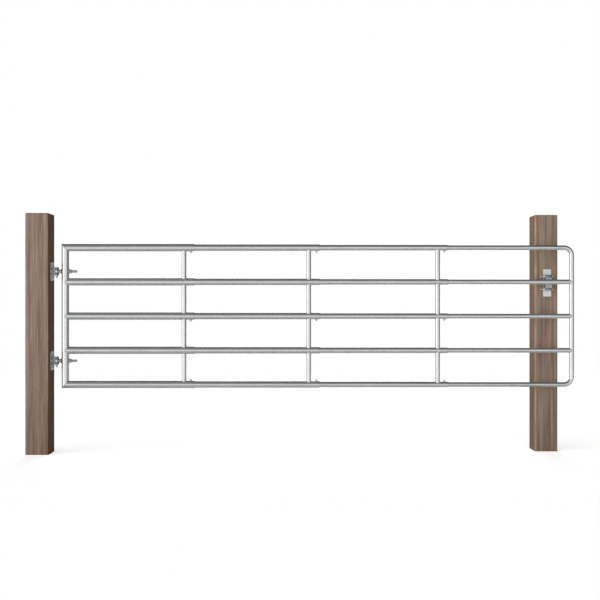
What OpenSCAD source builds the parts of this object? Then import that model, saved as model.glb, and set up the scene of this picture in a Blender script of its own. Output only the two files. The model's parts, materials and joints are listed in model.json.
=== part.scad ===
// Telescoping field gate: five galvanised bars in four sections, hung between two timber posts.
// The origin is the centre of the hinge post's foot, X runs to the latch post and Z is up.
// The gate is drawn out and shut, a little short of the jaws of its latch. Sizes are in millimetres.

/* [Posts] */
// Side of the square posts
post_w = 145; // [110:1:170]
// Height of the posts above the ground
post_h = 1500; // [1400:5:1800]
// Radius of the posts' upright edges
post_edge_r = 6; // [2:0.5:12]
// Chamfer round the posts' tops
post_top_chamfer = 5; // [2:0.5:10]

/* [Gate tubes] */
// Outer diameter of the hinge stile and of section 1's bars
tube_d = 46; // [42:0.1:50]
// Wall of the tubes
tube_wall = 2; // [1.6:0.1:2.4]
// Radial play between one section's bars and the next section's
slide_play = 0.8; // [0.4:0.1:0.9]
// Outer diameter of the uprights between the bars
upright_d = 29.2; // [20:0.1:30]
// Height of the lowest bar's centre line
low_bar_z = 430; // [320:5:500]
// Height from one bar to the next
bar_pitch = 214.5; // [195:0.5:230]
// Length of the bevel on the open end of each sleeve
sleeve_bevel_l = 4; // [1:0.5:8]
// Depth of the bevel on the open end of each sleeve
sleeve_bevel_d = 1.2; // [0.4:0.1:1.4]

/* [Sections] */
// Hinge stile's centre line to the end of section 1
section_1_l = 808; // [600:1:1000]
// End of section 1 to the end of section 2
section_2_shown = 788; // [600:1:1000]
// End of section 2 to the end of section 3
section_3_shown = 802; // [600:1:1000]
// End of section 3 to the centre line of the end stile
section_4_shown = 776; // [600:1:1000]
// Length of each section that stays in the one before it
overlap = 80; // [60:1:120]
// End of section 1 back to its uprights
sleeve_1 = 64; // [55:1:90]
// End of section 2 back to its uprights
sleeve_2 = 70; // [55:1:90]
// End of section 3 back to its uprights
sleeve_3 = 64; // [55:1:90]
// Bend radius of the end bow's centre line
bow_bend_r = 47; // [40:1:120]

/* [Lock screws] */
// End of a sleeve back to its lock screws
lock_inset = 22; // [14:1:30]
// Thread diameter of the lock screws
lock_d = 8; // [6:0.5:10]
// Width across flats of the nuts welded to the sleeves
lock_af = 13; // [12:0.5:16]
// Height of the nuts welded to the sleeves
lock_nut_h = 6.5; // [5:0.5:8]
// Length of a lock screw that shows past its nut
lock_shown = 5.7; // [4:0.1:9]
// Width across flats of the sockets in the lock screws' ends
lock_socket_af = 4; // [3:0.5:4.5]
// Depth of the sockets in the lock screws' ends
lock_socket_depth = 4; // [2:0.5:6]

/* [Hinges] */
// Centre lines of the top and bottom bars to the hinges
hinge_inset = 149; // [110:1:165]
// Face of the post to the centre line of the hinge pins
hinge_standoff = 33; // [30:1:45]
// Gap between the eyebolts' eyes and their first nuts
eye_nut_gap = 1.9; // [1.5:0.1:25]
// Width of the hinge plates
hinge_plate_w = 54; // [48:1:70]
// Height of the hinge plates
hinge_plate_h = 120; // [110:1:160]
// Thickness of the hinge plates
hinge_plate_t = 5; // [4:0.5:8]
// Corner radius of the hinge plates
hinge_plate_r = 6; // [2:0.5:10]
// Outer diameter of the hinge ears and of the bolts' eyes
hinge_eye_d = 27; // [24:0.5:29]
// Height of each hinge ear
hinge_ear_h = 15.5; // [10:0.5:20]
// Diameter of the hinge pins
hinge_pin_d = 14; // [10:0.5:16]
// Diameter of the hinge pins' heads
hinge_pin_head_d = 21; // [18:0.5:26]
// Height of the hinge pins' heads
hinge_pin_head_h = 4; // [2:0.5:8]
// Length of the hinge pins below the lower ear
hinge_pin_tail = 18; // [10:1:25]
// Length of the point on the hinge pins
hinge_pin_point = 8; // [3:1:9]
// Diameter of the point's blunt end
hinge_pin_point_d = 5; // [3:0.5:8]
// Rod diameter of the eyebolts
bolt_d = 16; // [12:0.5:18]
// Width across flats of the eyebolts' nuts
bolt_nut_af = 24; // [21:0.5:27]
// Height of the eyebolts' nuts
bolt_nut_h = 13; // [8:0.5:13]
// Diameter of the eyebolts' washers
bolt_washer_d = 30; // [26:0.5:34]
// Thickness of the eyebolts' washers
bolt_washer_t = 3; // [2:0.5:4]
// Length of the eyebolts past the stile
bolt_tail = 51; // [30:1:80]
// Chamfer on the eyebolts' ends
bolt_chamfer = 1.5; // [0.5:0.5:3]

/* [Screws] */
// Diameter of the coach screws in the posts
screw_d = 8; // [6:0.5:10]
// Length of the coach screws in the posts
screw_l = 60; // [40:1:80]
// Diameter of the coach screws' heads
screw_head_d = 15; // [13:0.5:18]
// Height of the coach screws' heads
screw_head_h = 5; // [3:0.5:8]
// Edges of a hinge plate to its screws
hinge_screw_edge = 12; // [10:0.5:14]
// Ends of the latch plate to its screws
latch_screw_edge = 20; // [12:0.5:25]

/* [Latch] */
// Centre line of the end stile back to that of the latch post
latch_lap = 141.5; // [110:0.5:200]
// Latch plate's centre line past that of the latch post
latch_shift = 5; // [0:0.5:15]
// Second bar's centre line down to the middle of the latch
latch_drop = 5; // [0:0.5:8]
// Width of the latch plate
latch_plate_w = 50; // [46:1:70]
// Height of the latch plate
latch_plate_h = 172; // [160:1:220]
// Thickness of the latch plate
latch_plate_t = 5; // [4:0.5:8]
// Corner radius of the latch plate
latch_plate_r = 3; // [1:0.5:8]
// Thickness of the latch ears
latch_ear_t = 4; // [3:0.5:5]
// Diameter of the latch ears' round ends
latch_ear_d = 18; // [17:0.5:22]
// Distance between the jaw pins
jaw_pin_spread = 82; // [76:1:90]
// Diameter of the jaw pins
jaw_pin_d = 8; // [6:0.5:9]
// Length of the jaw pins past the latch plate
jaw_pin_reach = 28; // [5:1:35]
// Diameter of the jaw pins' heads
jaw_pin_head_d = 11; // [10:0.5:16]
// Height of the jaw pins' heads
jaw_pin_head_h = 2; // [1.5:0.5:5]
// Thickness of the jaws' flaps
jaw_t = 4; // [3:0.5:6]
// Outer diameter of the jaws' barrels
jaw_barrel_d = 16; // [14:0.5:16]
// Play between the latched bar and the jaws' tips as they swing back
jaw_pass_play = 0.5; // [0.3:0.1:1.5]
// Room behind the bar when it is latched
latched_room = 1; // [1:0.5:5]
// Play between the latched bar and the jaws
jaw_bar_play = 1; // [0.5:0.5:3]
// Gap between the gate's last section and the latch ears
gate_latch_gap = 2.5; // [2:0.5:8]
// Wire diameter of the jaws' springs
spring_wire_d = 1.6; // [1.2:0.1:1.7]
// Mean diameter of the springs' turns
spring_mean_d = 12.4; // [12:0.1:14]
// Length of one turn along a spring's axis
spring_pitch = 2.3; // [2.2:0.1:2.4]
// Height on the latch plate between a pin and its spring's foot
spring_foot_drop = 12; // [10:1:15]
// Distance from a pin to the end of its spring's other leg
spring_leg_drop = 18; // [14:1:22]

/* [Hidden] */
// Play between fixed pieces that touch
seat_play = 0.05;
// Radial play of a piece that turns on a pin
pin_play = 0.1;
// Gap above and below a hinge eye, and under a lock screw's tip
rub_gap = 0.3;
// Radial play of the lock screws in their nuts
thread_play = 0.3;
// Radial play of bolts and screws in drilled holes
hole_play = 0.5;
// Play at the sides of a jaw and its spring
jaw_side_play = 0.5;
// How far a cut runs past what it cuts
overrun = 10;
// Whole turns of a jaw's spring, and rings on each turn
spring_turns = 4;
spring_rings = 8;
// Sides of the springs' wire
wire_sides = 6;
// Bars that have lock screws, and the side of the bar they are on
lock_bars = [1, 3, 5];
lock_sides = [-1, -1, 1];
lock_names = ["top", "middle", "bottom"];
bar_count = 5;
$fn = 64;

// Outer radius of the bars, section by section
tube_r = [for (n = [0:3]) tube_d / 2 - n * (tube_wall + slide_play)];
upright_r = upright_d / 2;
mitre_reach = tube_d;

// Places along the gate
post_face_x = post_w / 2;
pin_x = post_face_x + hinge_standoff;
stile_standoff = hinge_eye_d / 2 + eye_nut_gap + bolt_nut_h + bolt_washer_t + 2 * seat_play + tube_r[0];
stile_x = pin_x + stile_standoff;
section_1_end = stile_x + section_1_l;
section_2_end = section_1_end + section_2_shown;
section_3_end = section_2_end + section_3_shown;
end_stile_x = section_3_end + section_4_shown;
end_x = [section_1_end, section_2_end, section_3_end];
upright_x = [section_1_end - sleeve_1, section_2_end - sleeve_2, section_3_end - sleeve_3];
bow_start_x = section_3_end - overlap;
latch_post_x = end_stile_x - latch_lap;
latch_x = latch_post_x + latch_shift;

// Heights: bar 1 is the top bar
function bar_z(b) = low_bar_z + (bar_count - b) * bar_pitch;
hinge_z = [bar_z(1) - hinge_inset, bar_z(bar_count) + hinge_inset];
eye_h = bolt_d;
ear_start = eye_h / 2 + rub_gap;

// Distances in front of the latch post's face
latched_bar = latch_plate_t + latched_room + tube_r[3];
jaw_pin_out = latched_bar + tube_r[3] + jaw_bar_play + jaw_t / 2;
latch_face_y = jaw_pin_out + latch_ear_d / 2 + gate_latch_gap + tube_r[3];
jaw_pin_up = jaw_pin_spread / 2;
// Length of a jaw from its pin, so that its tip swings back in front of the latched bar
function jaw_l(up) =
    norm([jaw_pin_out - latched_bar, jaw_pin_up - up * latch_drop]) - tube_r[3] - jaw_pass_play;
jaw_half_w = latch_plate_w / 2 - latch_ear_t - jaw_side_play;

// Spring of a jaw, in the plane across its pin: first number away from the post, second away from the bar
wire_r = spring_wire_d / 2;
spring_r = spring_mean_d / 2;
spring_foot = [latch_plate_t + wire_r + rub_gap - jaw_pin_out, -spring_foot_drop];
spring_leg = [-jaw_t / 2 - wire_r - rub_gap, -spring_leg_drop];
function bearing(p) = atan2(p[1], p[0]);
coil_start = bearing(spring_foot) + acos(spring_r / norm(spring_foot));
coil_over = (bearing(spring_leg) - acos(spring_r / norm(spring_leg)) - coil_start + 720) % 360;
coil_sweep = coil_over + 360 * spring_turns;
coil_steps = ceil(coil_sweep / 360 * spring_rings);
coil_l = coil_sweep / 360 * spring_pitch;
coil_x = jaw_half_w - coil_l - wire_r;
coil_turn = [for (i = [0:coil_steps]) coil_start + coil_sweep * i / coil_steps];
coil = [for (i = [0:coil_steps])
    [coil_x + coil_l * i / coil_steps, spring_r * cos(coil_turn[i]), spring_r * sin(coil_turn[i])]];
foot_end = [coil_x, spring_foot[0], spring_foot[1]];
leg_end = [coil_x + coil_l, spring_leg[0], spring_leg[1]];
spring_path = concat([foot_end], coil, [leg_end]);
spring_turn = concat([coil_turn[0]], coil_turn, [coil_turn[coil_steps]]);
coil_steps_apart = [for (i = [0:coil_steps]) for (j = [i + spring_rings / 2 : 1 : coil_steps])
    norm(coil[i] - coil[j])];
spring_gap = min(coil_steps_apart) - spring_wire_d;
barrel_end = coil_x - wire_r - jaw_side_play;

section_bars = [for (s = [1:3]) for (b = [1:bar_count]) str("section_", s, "_bar_", b)];
lock_screws = [for (s = [1:3]) for (n = lock_names) str("lock_screw_", s, "_", n)];

// Shared shapes

// Rectangle with round corners, on its centre
module round_rectangle(w, h, r) {
    square([w - 2 * r, h], center = true);
    square([w, h - 2 * r], center = true);
    for (x = [-1, 1], y = [-1, 1])
        translate([x * (w / 2 - r), y * (h / 2 - r)]) circle(r);
}

// Cylinder along X from the place it stands at
module rod_x(r, l) {
    rotate([0, 90, 0]) cylinder(r = r, h = l);
}

// Six-sided prism of the given width across flats
module hexagon(af, h) {
    cylinder(d = af / cos(30), h = h, $fn = 6);
}

// Places of the four screws of a hinge plate
module at_hinge_screws() {
    across = hinge_plate_w / 2 - hinge_screw_edge;
    along = hinge_plate_h / 2 - hinge_screw_edge;
    for (y = [-across, across], z = [-along, along])
        translate([0, y, z]) children();
}

// Places of the two screws of the latch plate
module at_latch_screws() {
    for (z = [-1, 1])
        translate([0, 0, z * (latch_plate_h / 2 - latch_screw_edge)]) children();
}

// Puts children on the hinge post's inner face at hinge h, 0 for the upper one
module at_hinge(h) {
    translate([post_face_x, 0, hinge_z[h]]) children();
}

// Puts children on the latch post's face at the latch's middle, with X out of the face
module at_latch() {
    translate([latch_x, latch_face_y, bar_z(2) - latch_drop]) rotate([0, 0, -90]) children();
}

// Coach screw along X whose head sits on a plate of the given thickness
module coach_screw(plate_t) {
    translate([plate_t - screw_l, 0, 0]) rod_x(screw_d / 2, screw_l + screw_head_h / 2);
    translate([plate_t + seat_play, 0, 0]) rod_x(screw_head_d / 2, screw_head_h);
}

// Hole through a plate for a coach screw, along X
module plate_hole(plate_t) {
    translate([-overrun, 0, 0]) rod_x(screw_d / 2 + hole_play, plate_t + 2 * overrun);
}

// Hole in a post for a coach screw, along X
module screw_hole(plate_t) {
    translate([plate_t - screw_l - seat_play, 0, 0]) rod_x(screw_d / 2 + seat_play, screw_l + overrun);
}

// Posts

module post_column() {
    slope = post_top_chamfer * sqrt(2);
    difference() {
        linear_extrude(post_h) round_rectangle(post_w, post_w, post_edge_r);
        for (side = [0:3])
            rotate([0, 0, side * 90])
                translate([post_w / 2, 0, post_h])
                    rotate([0, 45, 0]) cube([slope, post_w + overrun, slope], center = true);
    }
}

module hinge_post() {
    color("rosybrown") difference() {
        post_column();
        for (h = [0, 1])
            at_hinge(h) at_hinge_screws() screw_hole(hinge_plate_t);
    }
}

module latch_post() {
    color("rosybrown") difference() {
        translate([latch_post_x, latch_face_y + post_w / 2, 0]) post_column();
        at_latch() at_latch_screws() screw_hole(latch_plate_t);
    }
}

// Hinges

// One pierced ear, from its lower face up
module hinge_ear() {
    linear_extrude(hinge_ear_h) {
        translate([0, -hinge_eye_d / 2]) square([hinge_standoff, hinge_eye_d]);
        translate([hinge_standoff, 0]) circle(d = hinge_eye_d);
    }
}

module hinge_plate(h) {
    color("silver") at_hinge(h) difference() {
        union() {
            rotate([90, 0, 90])
                linear_extrude(hinge_plate_t) round_rectangle(hinge_plate_w, hinge_plate_h, hinge_plate_r);
            translate([0, 0, ear_start]) hinge_ear();
            translate([0, 0, -ear_start - hinge_ear_h]) hinge_ear();
        }
        translate([hinge_standoff, 0, -hinge_plate_h / 2])
            cylinder(r = hinge_pin_d / 2 + seat_play, h = hinge_plate_h);
        at_hinge_screws() plate_hole(hinge_plate_t);
    }
}

module hinge_screws(h) {
    color("gainsboro") at_hinge(h) at_hinge_screws() coach_screw(hinge_plate_t);
}

// Headed pin with a pointed end, turned in one piece
module hinge_pin(h) {
    top = ear_start + hinge_ear_h + seat_play;
    tip = -ear_start - hinge_ear_h - hinge_pin_tail;
    color("darkgray") translate([pin_x, 0, hinge_z[h]])
        rotate_extrude()
            polygon([[0, tip], [hinge_pin_point_d / 2, tip], [hinge_pin_d / 2, tip + hinge_pin_point],
                     [hinge_pin_d / 2, top], [hinge_pin_head_d / 2, top],
                     [hinge_pin_head_d / 2, top + hinge_pin_head_h], [0, top + hinge_pin_head_h]]);
}

// Rod with an eye for the hinge pin, through the hinge stile
module eyebolt(h) {
    rod_l = stile_standoff + tube_r[0] + bolt_tail;
    color("silver") translate([pin_x, 0, hinge_z[h]]) difference() {
        union() {
            translate([0, 0, -eye_h / 2]) cylinder(d = hinge_eye_d, h = eye_h);
            rotate([0, 90, 0])
                rotate_extrude()
                    polygon([[0, 0], [bolt_d / 2, 0], [bolt_d / 2, rod_l - bolt_chamfer],
                             [bolt_d / 2 - bolt_chamfer, rod_l], [0, rod_l]]);
        }
        translate([0, 0, -eye_h]) cylinder(r = hinge_pin_d / 2 + pin_play, h = 2 * eye_h);
    }
}

// Puts children on both sides of the stile, with X away from it
module beside_stile(h) {
    translate([stile_x, 0, hinge_z[h]])
        for (side = [0, 180])
            rotate([0, 0, side]) translate([tube_r[0] + seat_play, 0, 0]) children();
}

module eyebolt_washers(h) {
    color("gainsboro") beside_stile(h) difference() {
        rod_x(bolt_washer_d / 2, bolt_washer_t);
        translate([-overrun, 0, 0]) rod_x(bolt_d / 2 + hole_play, bolt_washer_t + 2 * overrun);
    }
}

module eyebolt_nuts(h) {
    color("silver") beside_stile(h) translate([bolt_washer_t + seat_play, 0, 0]) difference() {
        rotate([0, 90, 0]) hexagon(bolt_nut_af, bolt_nut_h);
        translate([-overrun, 0, 0]) rod_x(bolt_d / 2 + seat_play, bolt_nut_h + 2 * overrun);
    }
}

// Gate sections

// Waste beside the mitre at the upper hinge corner: side is 1 for the stile's and -1 for the bar's
module mitre_waste(side) {
    rotate([90, 0, 0])
        linear_extrude(2 * mitre_reach, center = true)
            polygon([[mitre_reach, -mitre_reach], [-mitre_reach, mitre_reach],
                     [side * mitre_reach, side * mitre_reach]]);
}

module hinge_stile() {
    bottom = bar_z(bar_count);
    color("silver") difference() {
        translate([stile_x, 0, bottom - tube_r[0]])
            cylinder(r = tube_r[0], h = bar_z(1) - bottom + tube_d);
        translate([stile_x, 0, bottom - tube_d])
            cylinder(r = tube_r[0] - tube_wall, h = bar_z(1) - bottom + 2 * tube_d);
        translate([stile_x, 0, bar_z(1)]) mitre_waste(1);
        translate([stile_x, 0, bottom]) mirror([0, 0, 1]) mitre_waste(1);
        for (h = [0, 1])
            translate([stile_x - tube_d, 0, hinge_z[h]]) rod_x(bolt_d / 2 + hole_play, 2 * tube_d);
    }
}

// Tube along X from start to the bevelled end of section s
module sleeve(s, start) {
    r = tube_r[s - 1];
    l = end_x[s - 1] - start;
    translate([start, 0, 0])
        rotate([0, 90, 0])
            rotate_extrude()
                polygon([[r - tube_wall, 0], [r, 0], [r, l - sleeve_bevel_l],
                         [r - sleeve_bevel_d, l], [r - tube_wall, l]]);
}

// Puts children at the lock screw of section s on one of lock_bars, with Z away from the bar
module at_lock(s, n) {
    translate([end_x[s - 1] - lock_inset, 0, bar_z(lock_bars[n])])
        rotate([lock_sides[n] > 0 ? 0 : 180, 0, 0])
            children();
}

// Bar b of section 1, 2 or 3: section 1's bars end at the stile, the others in the section before
module section_bar(s, b) {
    at_corner = b == 1 || b == bar_count;
    start = s > 1 ? end_x[s - 2] - overlap : at_corner ? stile_x - tube_r[0] : stile_x;
    color("silver") difference() {
        translate([0, 0, bar_z(b)]) sleeve(s, start);
        if (s == 1 && at_corner)
            translate([stile_x, 0, bar_z(b)]) mirror([0, 0, b == 1 ? 0 : 1]) mitre_waste(-1);
        if (s == 1 && !at_corner)
            translate([stile_x, 0, bar_z(b) - tube_d]) cylinder(r = tube_r[0] + seat_play, h = 2 * tube_d);
        for (n = [0:len(lock_bars) - 1])
            if (lock_bars[n] == b)
                at_lock(s, n) cylinder(r = lock_d / 2 + hole_play, h = tube_d);
    }
}

// Four short tubes between the bars of a section, saddled to the bars
module section_uprights(s) {
    color("silver")
        for (b = [1:bar_count - 1])
            translate([upright_x[s - 1], 0, 0]) difference() {
                translate([0, 0, bar_z(b + 1)]) cylinder(r = upright_r, h = bar_pitch);
                translate([0, 0, bar_z(b + 1)]) cylinder(r = upright_r - tube_wall, h = bar_pitch);
                for (end = [b, b + 1])
                    translate([-upright_d, 0, bar_z(end)]) rod_x(tube_r[s - 1] + seat_play, 2 * upright_d);
            }
}

// Nuts welded over the lock holes of a section
module section_lock_nuts(s) {
    r = tube_r[s - 1];
    color("gainsboro")
        for (n = [0:len(lock_bars) - 1])
            at_lock(s, n) difference() {
                hexagon(lock_af, r + lock_nut_h);
                translate([-lock_af, 0, 0]) rod_x(r + seat_play, 2 * lock_af);
                cylinder(r = lock_d / 2 + thread_play, h = r + lock_nut_h + overrun);
            }
}

// Headless screw that clamps the next section's bar, with a hexagon socket in its outer end
module lock_screw(s, n) {
    tip = tube_r[s] + rub_gap;
    end = tube_r[s - 1] + lock_nut_h + lock_shown;
    color("dimgray") at_lock(s, n) difference() {
        translate([0, 0, tip]) cylinder(d = lock_d, h = end - tip);
        translate([0, 0, end - lock_socket_depth]) hexagon(lock_socket_af, lock_socket_depth + overrun);
    }
}

// One quarter bend of the end bow, from along X to along Z
module bow_bend(r) {
    rotate([90, 0, 0])
        rotate_extrude(angle = 90) translate([bow_bend_r, 0]) circle(r);
}

// Solid bow of the given radius: top bar, end stile and bottom bar
module bow(r) {
    bend_x = end_stile_x - bow_bend_r;
    low = bar_z(bar_count);
    for (z = [low, bar_z(1)])
        translate([bow_start_x, 0, z]) rod_x(r, bend_x - bow_start_x);
    translate([bend_x, 0, bar_z(1) - bow_bend_r]) bow_bend(r);
    translate([bend_x, 0, low + bow_bend_r]) mirror([0, 0, 1]) bow_bend(r);
    translate([end_stile_x, 0, low + bow_bend_r]) cylinder(r = r, h = bar_z(1) - low - 2 * bow_bend_r);
}

module end_bow() {
    color("silver") difference() {
        bow(tube_r[3]);
        bow(tube_r[3] - tube_wall);
    }
}

// Middle bar of section 4, saddled to the end stile
module last_bar(b) {
    r = tube_r[3];
    l = end_stile_x - bow_start_x;
    color("silver") translate([bow_start_x, 0, bar_z(b)]) difference() {
        rod_x(r, l);
        translate([-overrun, 0, 0]) rod_x(r - tube_wall, l + 2 * overrun);
        translate([l, 0, -tube_d]) cylinder(r = r + seat_play, h = 2 * tube_d);
    }
}

// Latch, drawn with X out of the post and Y along the second bar

// Pierced ears for one jaw pin
module latch_ears() {
    for (side = [-1, 1])
        translate([0, side * (latch_plate_w - latch_ear_t) / 2, jaw_pin_up])
            rotate([90, 0, 0])
                linear_extrude(latch_ear_t, center = true) {
                    translate([0, -latch_ear_d / 2]) square([jaw_pin_out, latch_ear_d]);
                    translate([jaw_pin_out, 0]) circle(d = latch_ear_d);
                }
}

module latch_plate() {
    color("gainsboro") at_latch() difference() {
        union() {
            rotate([90, 0, 90])
                linear_extrude(latch_plate_t) round_rectangle(latch_plate_w, latch_plate_h, latch_plate_r);
            latch_ears();
            mirror([0, 0, 1]) latch_ears();
        }
        for (up = [-1, 1])
            translate([jaw_pin_out, 0, up * jaw_pin_up])
                rotate([90, 0, 0])
                    cylinder(r = jaw_pin_d / 2 + seat_play, h = latch_plate_w + overrun, center = true);
        at_latch_screws() plate_hole(latch_plate_t);
    }
}

module latch_screws() {
    color("gainsboro") at_latch() at_latch_screws() coach_screw(latch_plate_t);
}

// Puts children at a jaw's pin, with Z away from the bar: up is 1 for the upper jaw and -1 for the lower
module at_jaw(up) {
    at_latch() mirror([0, 0, up > 0 ? 0 : 1]) translate([jaw_pin_out, 0, jaw_pin_up]) children();
}

// Headed rod that reaches past the plate on the side towards the hinges
module jaw_pin(up) {
    color("lightgray") at_jaw(up) rotate([90, 0, 0])
        translate([0, 0, -latch_plate_w / 2 - seat_play - jaw_pin_head_h]) {
            cylinder(d = jaw_pin_head_d, h = jaw_pin_head_h);
            cylinder(d = jaw_pin_d, h = jaw_pin_head_h + seat_play + latch_plate_w + jaw_pin_reach);
        }
}

// Flap on a barrel, with a round lip, and a notch beside the barrel for the spring
module jaw(up) {
    notch = spring_r + wire_r + jaw_side_play;
    l = jaw_l(up);
    color("darkgray") at_jaw(up) difference() {
        union() {
            translate([0, -jaw_half_w, 0])
                rotate([-90, 0, 0]) cylinder(d = jaw_barrel_d, h = jaw_half_w + barrel_end);
            translate([-jaw_t / 2, -jaw_half_w, jaw_t / 2 - l])
                cube([jaw_t, 2 * jaw_half_w, l - jaw_t / 2 - notch]);
            translate([-jaw_t / 2, -jaw_half_w, -notch - jaw_t])
                cube([jaw_t, jaw_half_w + barrel_end, notch + jaw_t]);
            translate([0, -jaw_half_w, jaw_t / 2 - l])
                rotate([-90, 0, 0]) cylinder(d = jaw_t, h = 2 * jaw_half_w);
        }
        rotate([90, 0, 0]) cylinder(r = jaw_pin_d / 2 + pin_play, h = latch_plate_w, center = true);
    }
}

// Torsion spring round a jaw's pin: one foot on the plate, the other leg behind the flap
module jaw_spring(up) {
    rings = len(spring_path);
    wire = [for (k = [0:rings - 1]) for (side = [0:wire_sides - 1])
        let (p = spring_path[k], a = 360 * side / wire_sides, out = wire_r * cos(a), t = spring_turn[k])
            [p[1] + out * cos(t), p[0] + wire_r * sin(a), p[2] + out * sin(t)]];
    walls = [for (k = [0:rings - 2]) for (side = [0:wire_sides - 1])
        let (here = k * wire_sides, next = (side + 1) % wire_sides)
            each [[here + side, here + next, here + wire_sides + side],
                  [here + next, here + wire_sides + next, here + wire_sides + side]]];
    last = (rings - 1) * wire_sides;
    caps = [for (side = [1:wire_sides - 2])
        each [[0, side + 1, side], [last, last + side, last + side + 1]]];
    color("gray") at_jaw(up) polyhedron(points = wire, faces = concat(walls, caps));
}

echo(spring_least_gap = spring_gap);

hinge_post();
latch_post();
hinge_plate(0);  // upper_hinge_plate
hinge_plate(1);  // lower_hinge_plate
hinge_pin(0);  // upper_hinge_pin
hinge_pin(1);  // lower_hinge_pin
hinge_screws(0);  // upper_hinge_screws
hinge_screws(1);  // lower_hinge_screws
eyebolt(0);  // upper_eyebolt
eyebolt(1);  // lower_eyebolt
eyebolt_nuts(0);  // upper_eyebolt_nuts
eyebolt_nuts(1);  // lower_eyebolt_nuts
eyebolt_washers(0);  // upper_eyebolt_washers
eyebolt_washers(1);  // lower_eyebolt_washers
hinge_stile();
for (s = [1:3], b = [1:bar_count])
    section_bar(s, b);
for (s = [1:3])
    section_uprights(s);
for (s = [1:3])
    section_lock_nuts(s);
end_bow();
for (b = [2:4])
    last_bar(b);
for (s = [1:3], n = [0:2])
    lock_screw(s, n);
latch_plate();
latch_screws();
jaw_pin(1);  // upper_jaw_pin
jaw_pin(-1);  // lower_jaw_pin
jaw(1);  // upper_jaw
jaw(-1);  // lower_jaw
jaw_spring(1);  // upper_jaw_spring
jaw_spring(-1);  // lower_jaw_spring
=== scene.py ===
import json
import math

import bmesh
import bpy
import numpy as np
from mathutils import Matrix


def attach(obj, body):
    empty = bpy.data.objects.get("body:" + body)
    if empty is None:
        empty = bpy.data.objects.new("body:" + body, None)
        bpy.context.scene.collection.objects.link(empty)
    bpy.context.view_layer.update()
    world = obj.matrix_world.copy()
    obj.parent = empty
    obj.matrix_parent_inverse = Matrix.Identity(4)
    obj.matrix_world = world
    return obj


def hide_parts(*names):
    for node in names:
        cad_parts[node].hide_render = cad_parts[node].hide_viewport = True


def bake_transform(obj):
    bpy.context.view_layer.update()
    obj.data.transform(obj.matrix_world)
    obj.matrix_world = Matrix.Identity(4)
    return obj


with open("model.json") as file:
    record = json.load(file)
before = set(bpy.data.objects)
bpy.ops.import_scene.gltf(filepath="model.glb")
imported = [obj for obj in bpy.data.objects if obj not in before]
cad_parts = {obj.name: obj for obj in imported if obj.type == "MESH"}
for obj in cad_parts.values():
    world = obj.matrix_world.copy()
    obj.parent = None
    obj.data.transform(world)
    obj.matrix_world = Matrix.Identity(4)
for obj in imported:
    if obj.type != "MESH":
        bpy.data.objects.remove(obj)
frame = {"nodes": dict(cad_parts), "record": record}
for spare in ("Cube", "Light", "Camera"):
    if spare in bpy.data.objects:
        bpy.data.objects.remove(bpy.data.objects[spare], do_unlink=True)
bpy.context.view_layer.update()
print("stage: frame loaded")

# shared places of the gate, in metres; bar 1 is the top bar
gate = {
    "barZ": (1.288, 1.0735, 0.859, 0.6445, 0.43),
    "tubeR": (0.023, 0.0202, 0.0174, 0.0146),
    "stileX": 0.16,
    "endX": (0.968, 1.756, 2.558),
    "uprightX": (0.904, 1.686, 2.494),
    "uprightR": 0.0146,
    "endStileX": 3.334,
    "pinX": 0.1055,
    "hingeZ": (1.139, 0.579),
    "lockInset": 0.022,
    "lockBars": (0, 2, 4),
    "lockSides": (-1, -1, 1),
    "lockNames": ("top", "middle", "bottom"),
    "postFaceX": 0.0725,
    "latchX": 3.1975,
    "latchZ": 1.0685,
    "latchFaceY": 0.0643,
}
axisX = np.array((1.0, 0.0, 0.0))
axisY = np.array((0.0, 1.0, 0.0))
axisZ = np.array((0.0, 0.0, 1.0))


# node helpers

def newMaterial(name):
    material = bpy.data.materials.new(name)
    material.use_nodes = True
    return material, material.node_tree.nodes["Principled BSDF"]


def addNode(tree, kind, inputs=None, **settings):
    node = tree.nodes.new(kind)
    for key, value in settings.items():
        setattr(node, key, value)
    for key, value in (inputs or {}).items():
        if isinstance(value, bpy.types.NodeSocket):
            tree.links.new(value, node.inputs[key])
        else:
            node.inputs[key].default_value = value
    return node


def calc(tree, operation, first, second=0.0):
    return addNode(tree, "ShaderNodeMath", {0: first, 1: second}, operation=operation).outputs[0]


def clampUnit(tree, value):
    return calc(tree, "MAXIMUM", calc(tree, "MINIMUM", value, 1.0), 0.0)


def ramp(tree, value, stops):
    # a stop's colour is a triple, or one number for a grey
    node = addNode(tree, "ShaderNodeValToRGB", {"Fac": value})
    elements = node.color_ramp.elements
    while len(elements) < len(stops):
        elements.new(0.5)
    for element, (place, colour) in zip(elements, stops):
        element.position = place
        element.color = (*colour, 1.0) if isinstance(colour, tuple) else (colour, colour, colour, 1.0)
    return node.outputs["Color"]


def mixColour(tree, share, first, second, blend="MIX"):
    # sockets 0, 6 and 7 of a Mix node are its factor and its two colours, and output 2 is the colour
    inputs = {0: share, 6: first, 7: second}
    return addNode(tree, "ShaderNodeMix", inputs, data_type="RGBA", blend_type=blend).outputs[2]


def placeCoords(tree, scale, shift=(0.0, 0.0, 0.0)):
    coords = addNode(tree, "ShaderNodeTexCoord").outputs["Object"]
    inputs = {"Vector": coords, "Location": shift, "Scale": scale}
    return addNode(tree, "ShaderNodeMapping", inputs).outputs["Vector"]


def noise(tree, vector, detail=3.0, rough=0.55):
    inputs = {"Vector": vector, "Scale": 1.0, "Detail": detail, "Roughness": rough}
    return addNode(tree, "ShaderNodeTexNoise", inputs).outputs["Fac"]


def bumpNormal(tree, height, strength, distance):
    inputs = {"Height": height, "Strength": strength, "Distance": distance}
    return addNode(tree, "ShaderNodeBump", inputs).outputs["Normal"]


# zinc and steel finishes; scales are in cells or waves to the metre, the bend's in waves to a cell

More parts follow.
